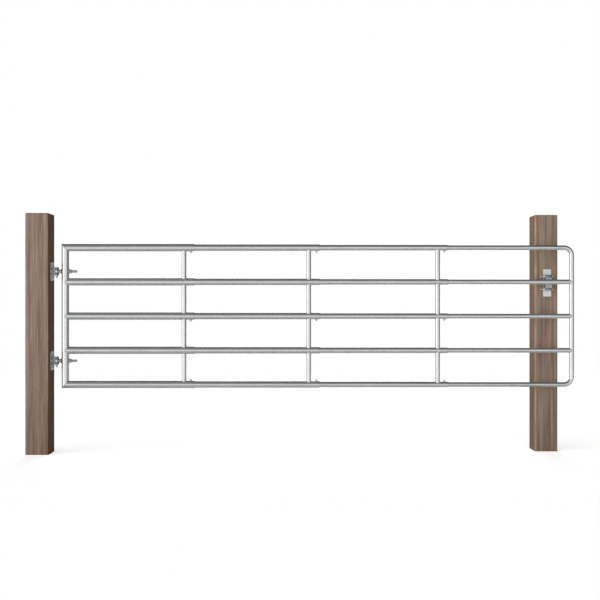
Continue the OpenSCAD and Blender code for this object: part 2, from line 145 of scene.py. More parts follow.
zincGrain = {
    "bendScale": 0.7,
    "bendDetail": 2.0,
    "cloudScale": 9.0,
    "cloudDetail": 4.0,
    "dullFrom": 0.35,
    "dullTo": 0.72,
    "markScale": 420.0,
    "markDetail": 2.0,
    "markDepth": 0.0002,
}
tubeLook = {
    "cells": 95.0,
    "dark": (0.76, 0.765, 0.77),
    "light": (0.83, 0.835, 0.84),
    "patina": (0.93, 0.935, 0.94),
    "rough": 0.24,
    "roughSpread": 0.05,
    "roughCloud": 0.06,
    "bump": 0.015,
}
# the bars are a darker copy of the tube zinc, as painted shade on the horizontal tubes
shadedBarLook = dict(tubeLook, dark=(0.66, 0.665, 0.67), light=(0.72, 0.725, 0.73))
# the stile is painted darker down its side towards the hinge post: a painted reflection of the dark post
stileLook = dict(tubeLook, paintedDarkTo=0.1465, paintedDarkOver=0.004, paintedDarkTone=0.36)
# the end bow is painted darker along its horizontal runs to match the bars, as painted shade; its upright end
# is plain
bowLook = dict(tubeLook, paintedDarkTo=3.26, paintedDarkOver=0.065, paintedDarkTone=0.82)
fittingLook = {
    "cells": 160.0,
    "dark": (0.64, 0.645, 0.645),
    "light": (0.78, 0.78, 0.775),
    "patina": (0.86, 0.86, 0.85),
    "rough": 0.38,
    "roughSpread": 0.12,
    "roughCloud": 0.15,
    "bump": 0.06,
}
hingeLook = dict(fittingLook, dark=(0.2, 0.202, 0.2), light=(0.32, 0.32, 0.315))
fastenerLook = {
    "cells": 380.0,
    "dark": (0.66, 0.66, 0.65),
    "light": (0.78, 0.775, 0.76),
    "patina": (0.88, 0.87, 0.84),
    "rough": 0.28,
    "roughSpread": 0.08,
    "roughCloud": 0.12,
    "bump": 0.04,
}
springLook = {
    "cells": 700.0,
    "dark": (0.34, 0.34, 0.35),
    "light": (0.48, 0.48, 0.48),
    "patina": (0.8, 0.77, 0.73),
    "rough": 0.3,
    "roughSpread": 0.08,
    "roughCloud": 0.1,
    "bump": 0.03,
}
jawLook = {
    "cells": 200.0,
    "dark": (0.36, 0.37, 0.38),
    "light": (0.48, 0.485, 0.49),
    "patina": (0.85, 0.85, 0.85),
    "rough": 0.4,
    "roughSpread": 0.1,
    "roughCloud": 0.12,
    "bump": 0.06,
}
weldLook = {
    "dark": (0.42, 0.42, 0.42),
    "light": (0.62, 0.625, 0.63),
    "stainScale": 140.0,
    "stainFrom": 0.3,
    "stainTo": 0.7,
    "grainScale": 900.0,
    "rough": 0.42,
    "roughSpread": 0.25,
    "bump": 0.5,
    "bumpDepth": 0.0003,
    "metallic": 0.85,
}


def zincMaterial(name, look):
    # zinc spangle: crystals as Voronoi cells, a slow cloud of dull patina, and fine handling marks
    material, shader = newMaterial(name)
    tree = material.node_tree
    grain = zincGrain
    cellVector = placeCoords(tree, (look["cells"],) * 3)
    bendInputs = {"Vector": cellVector, "Scale": grain["bendScale"], "Detail": grain["bendDetail"]}
    bend = addNode(tree, "ShaderNodeTexNoise", bendInputs).outputs["Color"]
    bent = addNode(tree, "ShaderNodeVectorMath", {0: cellVector, 1: bend}, operation="ADD").outputs[0]
    cells = addNode(tree, "ShaderNodeTexVoronoi", {"Vector": bent, "Scale": 1.0}).outputs["Color"]
    crystal = addNode(tree, "ShaderNodeSeparateColor", {"Color": cells}).outputs[0]
    cloud = noise(tree, placeCoords(tree, (grain["cloudScale"],) * 3), grain["cloudDetail"])
    marks = noise(tree, placeCoords(tree, (grain["markScale"],) * 3), grain["markDetail"])
    tone = ramp(tree, crystal, ((0.0, look["dark"]), (1.0, look["light"])))
    if "paintedDarkTo" in look:
        # painted darkening up to a place along X, and the plain tone past it
        coords = addNode(tree, "ShaderNodeTexCoord").outputs["Object"]
        along = addNode(tree, "ShaderNodeSeparateXYZ", {"Vector": coords}).outputs["X"]
        past = calc(tree, "DIVIDE", calc(tree, "SUBTRACT", along, look["paintedDarkTo"]), look["paintedDarkOver"])
        paintedDark = ramp(tree, past, ((0.0, look["paintedDarkTone"]), (1.0, 1.0)))
        tone = mixColour(tree, 1.0, tone, paintedDark, "MULTIPLY")
    dulled = ramp(tree, cloud, ((grain["dullFrom"], 1.0), (grain["dullTo"], look["patina"])))
    tree.links.new(mixColour(tree, 1.0, tone, dulled, "MULTIPLY"), shader.inputs["Base Color"])
    spread = calc(tree, "MULTIPLY", calc(tree, "SUBTRACT", crystal, 0.5), look["roughSpread"])
    haze = calc(tree, "MULTIPLY", calc(tree, "SUBTRACT", cloud, 0.5), look["roughCloud"])
    rough = calc(tree, "ADD", calc(tree, "ADD", spread, haze), look["rough"])
    tree.links.new(rough, shader.inputs["Roughness"])
    tree.links.new(bumpNormal(tree, marks, look["bump"], grain["markDepth"]), shader.inputs["Normal"])
    shader.inputs["Metallic"].default_value = 1.0
    return material


def weldMaterial(look):
    # sprayed zinc over a rippled bead: dull, grainy, with darker heat stain in the low spots
    material, shader = newMaterial("weldZinc")
    tree = material.node_tree
    grain = noise(tree, placeCoords(tree, (look["grainScale"],) * 3))
    stain = noise(tree, placeCoords(tree, (look["stainScale"],) * 3))
    tone = ramp(tree, stain, ((look["stainFrom"], look["dark"]), (look["stainTo"], look["light"])))
    tree.links.new(tone, shader.inputs["Base Color"])
    rough = calc(tree, "ADD", calc(tree, "MULTIPLY", grain, look["roughSpread"]), look["rough"])
    tree.links.new(rough, shader.inputs["Roughness"])
    tree.links.new(bumpNormal(tree, grain, look["bump"], look["bumpDepth"]), shader.inputs["Normal"])
    shader.inputs["Metallic"].default_value = look["metallic"]
    return material


# timber finish; scales are in waves to the metre across, across and along the grain

timberGrain = {
    "swayScale": (6.0, 6.0, 1.1),
    "sway": 0.03,
    "streakScale": (62.0, 62.0, 1.6),
    "fibreScale": (620.0, 620.0, 9.0),
    "fineRough": 0.6,
    "blotScale": (26.0, 26.0, 3.4),
    "blotDetail": 2.0,
    "blotShare": 0.8,
    "ringStops": ((0.0, 0.86), (0.75, 1.0), (1.0, 0.8)),
    "ringShare": 0.55,
    "ringHeight": 0.35,
    "fibreStops": ((0.28, 0.6), (0.45, 1.0), (0.75, 1.12)),
    "fibreShare": 0.6,
    "faceAt": 0.0695,
    "faceSharp": 400.0,
    "topAt": 1.4945,
    "topSharp": 1000.0,
    "rough": 0.92,
    "fibreGloss": 0.2,
    "bump": 0.55,
    "bumpDepth": 0.0012,
    "specular": 0.25,
}
# each face gives its axis, its side, and how far it is bleached grey; left brown, it is partly painted shade
hingePostLook = {
    "shift": (0.0, 0.0, 0.0),
    "pith": (0.03, 0.19),
    "centre": (0.0, 0.0),
    # the +X side stays unbleached: a darker brown, partly weathering and partly painted shade
    "weatherAndShade": (("X", 1, 0.0), ("X", -1, 0.75), ("Y", 1, 0.65), ("Y", -1, 1.0)),
    "ringWidth": 0.0062,
    "endStops": ((0.0, (0.12, 0.082, 0.054)), (0.55, (0.23, 0.165, 0.115)), (1.0, (0.29, 0.215, 0.155))),
    "brownStops": ((0.3, (0.13, 0.063, 0.024)), (0.5, (0.172, 0.087, 0.035)), (0.72, (0.222, 0.12, 0.052))),
    "greyStops": ((0.36, (0.215, 0.148, 0.113)), (0.5, (0.287, 0.208, 0.16)), (0.64, (0.355, 0.262, 0.2))),
    "wornColour": (0.3, 0.265, 0.23),
    "blotStops": ((0.36, (0.92, 0.88, 0.86)), (0.55, (1.0, 1.0, 1.0)), (0.72, (1.0, 1.05, 1.07))),
}
latchPostLook = {
    "shift": (3.7, 1.9, 5.3),
    "pith": (3.11, 0.3),
    "centre": (3.1925, 0.1368),
    "weatherAndShade": (("X", 1, 0.5), ("X", -1, 0.45), ("Y", 1, 0.7), ("Y", -1, 1.0)),
    "ringWidth": 0.0058,
    "endStops": ((0.0, (0.115, 0.078, 0.05)), (0.55, (0.215, 0.155, 0.105)), (1.0, (0.27, 0.2, 0.14))),
    "brownStops": ((0.3, (0.165, 0.105, 0.058)), (0.5, (0.21, 0.14, 0.085)), (0.72, (0.25, 0.175, 0.12))),
    "greyStops": ((0.34, (0.178, 0.121, 0.088)), (0.5, (0.264, 0.192, 0.143)), (0.66, (0.337, 0.253, 0.189))),
    "wornColour": (0.44, 0.32, 0.235),
    "blotStops": ((0.32, (1.06, 0.88, 0.84)), (0.5, (1.0, 1.0, 1.0)), (0.7, (0.9, 1.0, 0.82))),
}


def growthRings(tree, place, look):
    # bands of distance from the pith, which runs up the post, swayed by slow noise
    sway = noise(tree, placeCoords(tree, timberGrain["swayScale"], look["shift"]))
    square = 0.0
    for axis, middle in zip("XY", look["pith"]):
        across = calc(tree, "SUBTRACT", place.outputs[axis], middle)
        square = calc(tree, "ADD", calc(tree, "MULTIPLY", across, across), square)
    reach = calc(tree, "ADD", calc(tree, "SQRT", square), calc(tree, "MULTIPLY", sway, timberGrain["sway"]))
    wave = calc(tree, "SINE", calc(tree, "MULTIPLY", reach, 2 * math.pi / look["ringWidth"]))
    return calc(tree, "ADD", calc(tree, "MULTIPLY", wave, 0.5), 0.5)


def bleachingAndShade(tree, place, look):
    # the weathered side is bleached grey; the sheltered sides keep a darker brown, partly painted shade
    greyShare = 0.0
    for axis, side, faceGreyShare in look["weatherAndShade"]:
        middle = look["centre"]["XY".index(axis)]
        out = calc(tree, "MULTIPLY", calc(tree, "SUBTRACT", place.outputs[axis], middle), side)
        near = calc(tree, "SUBTRACT", out, timberGrain["faceAt"])
        facing = clampUnit(tree, calc(tree, "MULTIPLY", near, timberGrain["faceSharp"]))
        greyShare = calc(tree, "MAXIMUM", calc(tree, "MULTIPLY", facing, faceGreyShare), greyShare)
    return greyShare


def timberMaterial(name, look):
    # streaks, fibres and blots are noise drawn out along the grain; the rings tint and raise the surface
    material, shader = newMaterial(name)
    tree = material.node_tree
    grain = timberGrain
    coords = addNode(tree, "ShaderNodeTexCoord").outputs["Object"]
    place = addNode(tree, "ShaderNodeSeparateXYZ", {"Vector": coords})
    rings = growthRings(tree, place, look)
    streaks = noise(tree, placeCoords(tree, grain["streakScale"], look["shift"]), rough=grain["fineRough"])
    fibres = noise(tree, placeCoords(tree, grain["fibreScale"], look["shift"]), rough=grain["fineRough"])
    blots = noise(tree, placeCoords(tree, grain["blotScale"], look["shift"]), grain["blotDetail"])
    bare = ramp(tree, streaks, look["brownStops"])
    grey = ramp(tree, streaks, look["greyStops"])
    colour = mixColour(tree, bleachingAndShade(tree, place, look), bare, grey)
    worn = addNode(tree, "ShaderNodeAttribute", attribute_name="worn").outputs["Fac"]
    colour = mixColour(tree, worn, colour, (*look["wornColour"], 1.0))
    colour = mixColour(tree, grain["blotShare"], colour, ramp(tree, blots, look["blotStops"]), "MULTIPLY")
    colour = mixColour(tree, grain["ringShare"], colour, ramp(tree, rings, grain["ringStops"]), "MULTIPLY")
    # end grain: the rings show plainly on the sawn top
    above = calc(tree, "SUBTRACT", place.outputs["Z"], grain["topAt"])
    onTop = clampUnit(tree, calc(tree, "MULTIPLY", above, grain["topSharp"]))
    colour = mixColour(tree, onTop, colour, ramp(tree, rings, look["endStops"]))
    colour = mixColour(tree, grain["fibreShare"], colour, ramp(tree, fibres, grain["fibreStops"]), "MULTIPLY")
    tree.links.new(colour, shader.inputs["Base Color"])
    rough = calc(tree, "SUBTRACT", grain["rough"], calc(tree, "MULTIPLY", fibres, grain["fibreGloss"]))
    tree.links.new(rough, shader.inputs["Roughness"])
    height = calc(tree, "ADD", fibres, calc(tree, "MULTIPLY", rings, grain["ringHeight"]))
    tree.links.new(bumpNormal(tree, height, grain["bump"], grain["bumpDepth"]), shader.inputs["Normal"])
    shader.inputs["Specular IOR Level"].default_value = grain["specular"]
    return material


tubeZinc = zincMaterial("tubeZinc", tubeLook)
shadedBarZinc = zincMaterial("shadedBarZinc", shadedBarLook)
stileZinc = zincMaterial("stileZinc", stileLook)
bowZinc = zincMaterial("bowZinc", bowLook)
fittingZinc = zincMaterial("fittingZinc", fittingLook)
hingeZinc = zincMaterial("hingeZinc", hingeLook)
fastenerZinc = zincMaterial("fastenerZinc", fastenerLook)
springSteel = zincMaterial("springSteel", springLook)
jawSteel = zincMaterial("jawSteel", jawLook)
weldZinc = weldMaterial(weldLook)
hingePostTimber = timberMaterial("hingePostTimber", hingePostLook)
latchPostTimber = timberMaterial("latchPostTimber", latchPostLook)
print("stage: materials made")


# mesh helpers

# angle in degrees past which an edge is shaded sharp
sharpAngle = {"timber": 50.0, "rod": 60.0, "fastener": 25.0, "weld": 70.0}
# share of half a turn on the crest of a thread, and on its flank
threadForm = {"crest": 0.15, "flank": 0.6}
# nuts and heads; all but the angle and the counts are shares of the width across flats
hexForm = {"sides": 72, "coneR": 0.475, "coneAngle": 30.0, "coneRows": 6, "coneReach": 0.1}


def makePiece(name, shells, material, sharp):
    points = []
    faces = []
    start = 0
    for shellPoints, quads, fans in shells:
        points.append(shellPoints)
        faces += (quads + start).tolist() + (fans + start).tolist()
        start += len(shellPoints)
    mesh = bpy.data.meshes.new(name)
    mesh.from_pydata(np.vstack(points).tolist(), [], faces)
    work = bmesh.new()
    work.from_mesh(mesh)
    bmesh.ops.recalc_face_normals(work, faces=work.faces)
    work.to_mesh(mesh)
    work.free()
    mesh.polygons.foreach_set("use_smooth", np.ones(len(mesh.polygons), bool))
    mesh.set_sharp_from_angle(angle=math.radians(sharpAngle[sharp]))
    mesh.materials.append(material)
    piece = bpy.data.objects.new(name, mesh)
    bpy.context.scene.collection.objects.link(piece)
    return piece


def gridShell(points, rowsClosed):
    # quads between rows of points whose columns close on themselves; open ends get a fan to the row's middle
    rows, columns = points.shape[:2]
    flat = points.reshape(-1, 3)
    here = np.arange(rows * columns).reshape(rows, columns)
    if rowsClosed:
        here = np.vstack((here, here[:1]))
    beside = np.roll(here, -1, 1)
    quads = np.stack((here[:-1], beside[:-1], beside[1:], here[1:]), -1).reshape(-1, 4)
    if rowsClosed:
        return flat, quads, np.empty((0, 3), int)
    flat = np.vstack((flat, points[0].mean(0), points[-1].mean(0)))
    middle = np.full(columns, rows * columns)
    low = np.column_stack((middle, beside[0], here[0]))
    high = np.column_stack((middle + 1, here[-1], beside[-1]))
    return flat, quads, np.vstack((low, high))


def roundAngles(sides):
    return np.linspace(0.0, 2 * math.pi, sides, endpoint=False)


def turnedShell(radius, along, angles, centre, axes, rowsClosed=False):
    # point = centre + radius (cos angle axes[0] + sin angle axes[1]) + along axes[2]
    ring = np.cos(angles)[:, None] * axes[0] + np.sin(angles)[:, None] * axes[1]
    points = radius[:, :, None] * ring[None, :, :] + along[:, None, None] * axes[2] + centre
    return gridShell(points, rowsClosed)


def sweptShell(path, outward, radius, sides, closed):
    # point = path + radius (cos a outward + sin a side), with side square to the path and to outward
    if closed:
        tangent = np.roll(path, -1, 0) - np.roll(path, 1, 0)
    else:
        tangent = np.gradient(path, axis=0)
    tangent /= np.linalg.norm(tangent, axis=1)[:, None]
    out = outward - (outward * tangent).sum(1)[:, None] * tangent
    out /= np.linalg.norm(out, axis=1)[:, None]
    side = np.cross(tangent, out)
    angles = roundAngles(sides)[None, :, None]
    ring = np.cos(angles) * out[:, None, :] + np.sin(angles) * side[:, None, :]
    return gridShell(path[:, None, :] + radius[:, None, None] * ring, closed)


def threadRadius(along, angles, major, depth, pitch):
    # ridge of a screw thread: r = major - depth s, where s rises from crest to root over each turn
    turn = along[:, None] / pitch - angles[None, :] / (2 * math.pi)
    share = np.abs(2 * (turn - np.floor(turn)) - 1)
    return major - depth * np.clip((share - threadForm["crest"]) / threadForm["flank"], 0, 1)


def hexRadius(flats, angles):
    # r = half the width across flats / cos of the angle from the nearest flat's middle
    return flats / 2 / np.cos(np.mod(angles, math.pi / 3) - math.pi / 6)


def hexShell(flats, low, high, bore, centre, axes):
    # nut or head: r = the smaller of the hexagon's radius and a cone from each end face
    angles = roundAngles(hexForm["sides"])
    rise = np.linspace(0.0, hexForm["coneReach"], hexForm["coneRows"]) * flats
    along = np.concatenate((low + rise, (high - rise)[::-1]))
    edge = np.minimum(along - low, high - along)
    cone = hexForm["coneR"] * flats + edge / math.tan(math.radians(hexForm["coneAngle"]))
    radius = np.minimum(hexRadius(flats, angles)[None, :], cone[:, None])
    if bore:
        radius = np.vstack((radius, np.full((2, hexForm["sides"]), bore)))
        along = np.append(along, (high, low))
    return turnedShell(radius, along, angles, centre, axes, bool(bore))


def adopt(piece, body, slot, *nodes):
    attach(piece, body)
    if nodes:
        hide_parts(*nodes)
    return piece


# timber posts

postForm = {
    "side": 0.145,
    "height": 1.5,
    "edgeR": 0.006,
    "chamfer": 0.005,
    "rows": 190,
    "faceSteps": 26,
    "cornerSteps": 6,
    "checkSteps": 5,
    "checkEase": 0.7,
    "footRings": 5,
    "footReach": (0.1, 0.9),
    "capRings": 14,
    "capReach": (1.0, 0.06),
    "relief": 0.00025,
    "reliefPitch": 0.012,
    "sawDepth": 0.00008,
    "edgeWear": 0.0005,
    "wornWidth": 0.009,
}
# saw marks: waves in 2 pi metres of height, waves round the post, and share of its phase
sawWaves = ((9.0, 3, 1.0), (23.0, -5, 2.1))
# slow changes up a post: a steady share, then each wave's share, waves in 2 pi metres, and share of the phase
wearWaves = (0.5, (0.3, 31.0, 1.0), (0.2, 83.0, 1.7))
bareWaves = (0.7, (0.2, 17.0, 1.0), (0.1, 47.0, -1.0))
# faces 0 to 3 look along +X, +Y, -X and -Y, and edge 0 lies between faces 0 and 1
hingePost = {
    "centre": hingePostLook["centre"],
    "pith": (0.03, 0.19),
    "phase": 0.7,
    "bareEdges": (0.3, 0.3, 0.9, 0.0),
    "checks": (
        {"face": 3, "across": 0.021, "width": 0.0011, "depth": 0.005, "low": 0.98, "high": 1.5},
        {"face": 3, "across": -0.034, "width": 0.0009, "depth": 0.004, "low": 0.16, "high": 0.72},
        {"face": 1, "across": 0.008, "width": 0.0014, "depth": 0.007, "low": 0.7, "high": 1.5},
        {"face": 1, "across": -0.03, "width": 0.001, "depth": 0.004, "low": 0.12, "high": 0.63},
        {"face": 2, "across": 0.017, "width": 0.0012, "depth": 0.006, "low": 0.84, "high": 1.5},
        {"face": 0, "across": -0.045, "width": 0.0009, "depth": 0.004, "low": 0.2, "high": 0.9},
    ),
}
latchPost = {
    "centre": latchPostLook["centre"],
    "pith": (-0.08, 0.17),
    "phase": 2.6,
    "bareEdges": (0.3, 0.3, 1.0, 0.0),
    "checks": (
        {"face": 3, "across": -0.05, "width": 0.0009, "depth": 0.004, "low": 0.2, "high": 0.83},
        {"face": 3, "across": 0.047, "width": 0.001, "depth": 0.004, "low": 1.13, "high": 1.5},
        {"face": 1, "across": -0.012, "width": 0.0014, "depth": 0.007, "low": 0.55, "high": 1.5},
        {"face": 2, "across": 0.03, "width": 0.0011, "depth": 0.005, "low": 0.9, "high": 1.5},
        {"face": 0, "across": 0.012, "width": 0.0012, "depth": 0.006, "low": 0.76, "high": 1.5},
        {"face": 0, "across": -0.033, "width": 0.0009, "depth": 0.004, "low": 0.15, "high": 0.7},
    ),
}


def slowWaves(levels, waves, phase):
    # steady + the sum of share sin(levels waves + lead phase)
    total = waves[0]
    for share, along, lead in waves[1:]:
        total = total + share * np.sin(levels * along + lead * phase)
    return total


def postOutline(form, checks):
    # rounded square: straight faces with extra points at each drying check, and quarter circles at the edges
    half = form["side"] / 2
    flat = half - form["edgeR"]
    points = []
    normals = []
    faces = []
    places = []
    for face in range(4):
        turn = face * math.pi / 2
        normal = np.array((math.cos(turn), math.sin(turn)))
        run = np.array((-math.sin(turn), math.cos(turn)))
        across = [np.linspace(-flat, flat, form["faceSteps"])]
        for check in checks:
            if check["face"] == face:
                spread = np.linspace(-1.0, 1.0, form["checkSteps"])
                across.append(check["across"] + check["width"] * spread)
        across = np.unique(np.concatenate(across))
        lean = turn + np.arange(1, form["cornerSteps"]) / form["cornerSteps"] * math.pi / 2
        bent = np.column_stack((np.cos(lean), np.sin(lean)))
        points += [normal * half + across[:, None] * run, flat * (normal + run) + form["edgeR"] * bent]
        normals += [np.tile(normal, (len(across), 1)), bent]
        faces += [np.full(len(across), face), np.full(len(lean), -1)]
        places += [across, np.full(len(lean), float(face))]
    return np.vstack(points), np.vstack(normals), np.concatenate(faces), np.concatenate(places)


def postDepth(form, post, outline, faces, places, levels):
    # depth below the sawn face: slow waves of the saw, worn edges, and checks that close towards both ends
    around = np.arctan2(outline[:, 1], outline[:, 0])
    saw = len(sawWaves)
    for along, turns, lead in sawWaves:
        saw = saw + np.sin(levels[:, None] * along + turns * around + lead * post["phase"])
    wear = slowWaves(levels, wearWaves, post["phase"])
    depth = form["sawDepth"] * saw + np.where(faces < 0, form["edgeWear"], 0.0) * wear[:, None]
    for check in post["checks"]:
        share = np.clip((levels - check["low"]) / (check["high"] - check["low"]), 0, 1)
        if check["high"] < form["height"]:
            window = np.sin(math.pi * share) ** form["checkEase"]
        else:
            window = np.sqrt(share)
        near = np.clip(1 - np.abs(places - check["across"]) / check["width"], 0, 1)
        depth = depth + check["depth"] * np.where(faces == check["face"], near, 0.0) * window[:, None]
    return depth


def postBare(form, post, faces, places, levels):
    # how bare each point is: full along a worn edge, fading beside it, broken up by slow waves along the post
    edge = np.array(post["bareEdges"])
    toEdge = form["side"] / 2 - form["edgeR"] - np.abs(places)
    nearest = np.where(places > 0, edge[faces], edge[faces - 1])
    beside = nearest * np.clip(1 - toEdge / form["wornWidth"], 0, 1)
    share = np.where(faces < 0, edge[places.astype(int)], beside)
    return slowWaves(levels, bareWaves, post["phase"])[:, None] * share


def makePost(name, form, post, material):
    # rows of the outline: shrunk under the foot, up the sides, and shrunk again over the top
    outline, normals, faces, places = postOutline(form, post["checks"])
    levels = np.linspace(0.0, form["height"] - form["chamfer"], form["rows"])
    depth = postDepth(form, post, outline, faces, places, levels)
    sides = outline[None, :, :] - depth[:, :, None] * normals[None, :, :]
    foot = sides[0] * np.linspace(*form["footReach"], form["footRings"])[:, None, None]
    rim = outline - (depth[-1] + form["chamfer"])[:, None] * normals
    cap = rim * np.linspace(*form["capReach"], form["capRings"])[:, None, None]
    # end grain: the late wood of each ring stands a little proud of the early wood
    reach = np.linalg.norm(cap - np.array(post["pith"]), axis=2)
    relief = form["relief"] * (np.sin(reach * 2 * math.pi / form["reliefPitch"]) - 1)
    flat = np.concatenate((foot, sides, cap)) + np.array(post["centre"])
    upright = np.broadcast_to(levels[:, None], depth.shape)
    heights = np.concatenate((np.zeros(foot.shape[:2]), upright, form["height"] + relief))
    piece = makePiece(name, [gridShell(np.dstack((flat, heights)), False)], material, "timber")
    worn = np.zeros(heights.shape)
    worn[form["footRings"]:-form["capRings"]] = postBare(form, post, faces, places, levels)
    attribute = piece.data.attributes.new("worn", "FLOAT", "POINT")
    attribute.data.foreach_set("value", np.append(worn.ravel(), (0.0, 0.0)).astype(np.float32))
    piece.visible_glossy = False  # the tubes mirror the studio, not the dark side of a post
    return piece


hingePostPiece = makePost("hingePostTimber", postForm, hingePost, hingePostTimber)
adopt(hingePostPiece, "posts", "post_timber", "hinge_post")
latchPostPiece = makePost("latchPostTimber", postForm, latchPost, latchPostTimber)
adopt(latchPostPiece, "posts", "post_timber", "latch_post")
print("stage: posts made")


# hinge eyebolts and their nuts; places are from the hinge pin, along the bolt

boltForm = {
    "eyeR": 0.0135,
    "boreR": 0.0071,
    "eyeHalf": 0.008,
    "round": 0.0022,
    "roundSteps": 6,
    "eyeSides": 56,
    "rodR": 0.008,
    "rodSides": 36,
    "neckStart": 0.0095,
    "neckRows": 5,
    "threadStart": 0.0135,
    "threadDepth": 0.0011,
    "pitch": 0.002,
    "rowsPerTurn": 8,
    "end": 0.1285,
    "chamfer": 0.0015,
    "nutFlats": 0.024,
    "nutH": 0.013,
    "nutGap": 0.0031,
    "nutBoreR": 0.00805,
}


def eyeShell(form, centre):
    # ring: a rectangle with round corners turned about the pin
    middle = (form["eyeR"] + form["boreR"]) / 2
    halfWall = (form["eyeR"] - form["boreR"]) / 2
    steps = form["roundSteps"]
    lean = np.concatenate([np.linspace(corner, corner + 1, steps) for corner in range(4)]) * math.pi / 2
    out = np.repeat((1, -1, -1, 1), steps) * (halfWall - form["round"])
    up = np.repeat((1, 1, -1, -1), steps) * (form["eyeHalf"] - form["round"])
    radius = middle + out + form["round"] * np.cos(lean)
    along = up + form["round"] * np.sin(lean)
    grid = np.repeat(radius[:, None], form["eyeSides"], 1)
    return turnedShell(grid, along, roundAngles(form["eyeSides"]), centre, (axisX, axisY, axisZ), True)


def boltShell(form, centre):
    # rod along X: plain neck, then a thread whose last turns run out on the end chamfer
    neck = np.linspace(form["neckStart"], form["threadStart"], form["neckRows"])
    thread = np.arange(form["threadStart"], form["end"], form["pitch"] / form["rowsPerTurn"])
    along = np.concatenate((neck, thread[1:], (form["end"],)))
    angles = roundAngles(form["rodSides"])
    radius = threadRadius(along, angles, form["rodR"], form["threadDepth"], form["pitch"])
    radius[:form["neckRows"]] = form["rodR"]
    toEnd = form["rodR"] - form["chamfer"] + (form["end"] - along)
    return turnedShell(np.minimum(radius, toEnd[:, None]), along, angles, centre, (axisY, axisZ, axisX))


def makeHinge(place, level):
    centre = np.array((gate["pinX"], 0.0, level))
    shells = [eyeShell(boltForm, centre), boltShell(boltForm, centre)]
    bolt = makePiece(place + "Eyebolt", shells, fittingZinc, "rod")
    adopt(bolt, "section_1", "galvanised_fitting", place + "_eyebolt")
    middle = np.array((gate["stileX"], 0.0, level))
    near = gate["tubeR"][0] + boltForm["nutGap"]
    far = near + boltForm["nutH"]
    nuts = []
    for side in (-1, 1):
        axes = (axisY, side * axisZ, side * axisX)
        nuts.append(hexShell(boltForm["nutFlats"], near, far, boltForm["nutBoreR"], middle, axes))
    piece = makePiece(place + "EyeboltNuts", nuts, fastenerZinc, "fastener")
    adopt(piece, "section_1", "plated_fastener", place + "_eyebolt_nuts")


makeHinge("upper", gate["hingeZ"][0])
makeHinge("lower", gate["hingeZ"][1])
print("stage: hinges made")


# coach screws in the posts
# places along a screw are from the post's face; the last three are from the plate's middle

coachForm = {
    "flats": 0.0128,
    "headH": 0.005,
    "headSeat": 0.00505,
    "headSink": 0.001,
    "plateT": 0.005,
    "length": 0.06,
    "shankR": 0.004,
    "shankL": 0.012,
    "pitch": 0.0032,
    "depth": 0.0008,
    "rowsPerTurn": 6,
    "sides": 16,
    "tipR": 0.0006,
    "taper": 0.5,
    "hingeAcross": 0.015,
    "hingeUp": 0.048,
    "latchUp": 0.066,
}


def coachShells(form, seat, axes):
    # head with a chamfer, and a lag thread that tapers to a point in the timber
    head = hexShell(form["flats"], form["headSeat"], form["headSeat"] + form["headH"], 0.0, seat, axes)
    low = form["plateT"] - form["length"]
    along = np.arange(low, form["headSeat"] + form["headSink"], form["pitch"] / form["rowsPerTurn"])
    angles = roundAngles(form["sides"])
    radius = threadRadius(along, angles, form["shankR"], form["depth"], form["pitch"])
    radius[along > -form["shankL"]] = form["shankR"]
    taper = form["tipR"] + (along - low) * form["taper"]
    return [head, turnedShell(np.minimum(radius, taper[:, None]), along, angles, seat, axes)]


def makeHingeScrews(place, level):
    shells = []
    for across in (-coachForm["hingeAcross"], coachForm["hingeAcross"]):
        for up in (-coachForm["hingeUp"], coachForm["hingeUp"]):
            seat = np.array((gate["postFaceX"], across, level + up))
            shells += coachShells(coachForm, seat, (axisY, axisZ, axisX))
    piece = makePiece(place + "HingeScrews", shells, fastenerZinc, "fastener")
    adopt(piece, "posts", "plated_fastener", place + "_hinge_screws")


def makeLatchScrews():
    shells = []
    for up in (-coachForm["latchUp"], coachForm["latchUp"]):
        seat = np.array((gate["latchX"], gate["latchFaceY"], gate["latchZ"] + up))
        shells += coachShells(coachForm, seat, (axisX, axisZ, -axisY))
    piece = makePiece("latchScrews", shells, fastenerZinc, "fastener")
    adopt(piece, "posts", "plated_fastener", "latch_screws")


makeHingeScrews("upper", gate["hingeZ"][0])
makeHingeScrews("lower", gate["hingeZ"][1])
makeLatchScrews()
print("stage: coach screws made")


# lock screws and their welded nuts; places are from the bar's centre line, out along the screw

lockForm = {
    "flats": 0.013,
    "nutH": 0.0065,
    "nutSink": 0.00005,
    "boreR": 0.0043,
    "threadR": 0.004,
    "depth": 0.0007,
    "pitch": 0.00125,
    "shown": 0.0057,
    "tipGap": 0.0003,
    "chamfer": 0.001,
    "socketFlats": 0.004,
    "socketDepth": 0.004,
    "rows": 110,
    "sides": 36,
}


def lockPlace(section, number):
    side = gate["lockSides"][number]
    level = gate["barZ"][gate["lockBars"][number]]
    centre = np.array((gate["endX"][section] - gate["lockInset"], 0.0, level))
    return centre, (axisX, side * axisY, side * axisZ)


def makeLockScrew(section, number):
    # thread with a chamfer at each end; its last two rows are the socket's hexagon, at mouth and floor
    centre, axes = lockPlace(section, number)
    tip = gate["tubeR"][section + 1] + lockForm["tipGap"]
    end = gate["tubeR"][section] + lockForm["nutH"] + lockForm["shown"]
    along = np.linspace(tip, end, lockForm["rows"])
    angles = roundAngles(lockForm["sides"])
    radius = threadRadius(along, angles, lockForm["threadR"], lockForm["depth"], lockForm["pitch"])
    toEnd = lockForm["threadR"] - lockForm["chamfer"] + np.minimum(along - tip, end - along)
    socket = hexRadius(lockForm["socketFlats"], angles)
    radius = np.vstack((np.minimum(radius, toEnd[:, None]), socket, socket))
    along = np.append(along, (end, end - lockForm["socketDepth"]))
    shell = turnedShell(radius, along, angles, centre, axes)
    place = gate["lockNames"][number]
    piece = makePiece(f"lockScrew{section + 1}{place.title()}", [shell], fastenerZinc, "fastener")
    node = f"lock_screw_{section + 1}_{place}"
    adopt(piece, node, "plated_fastener", node)


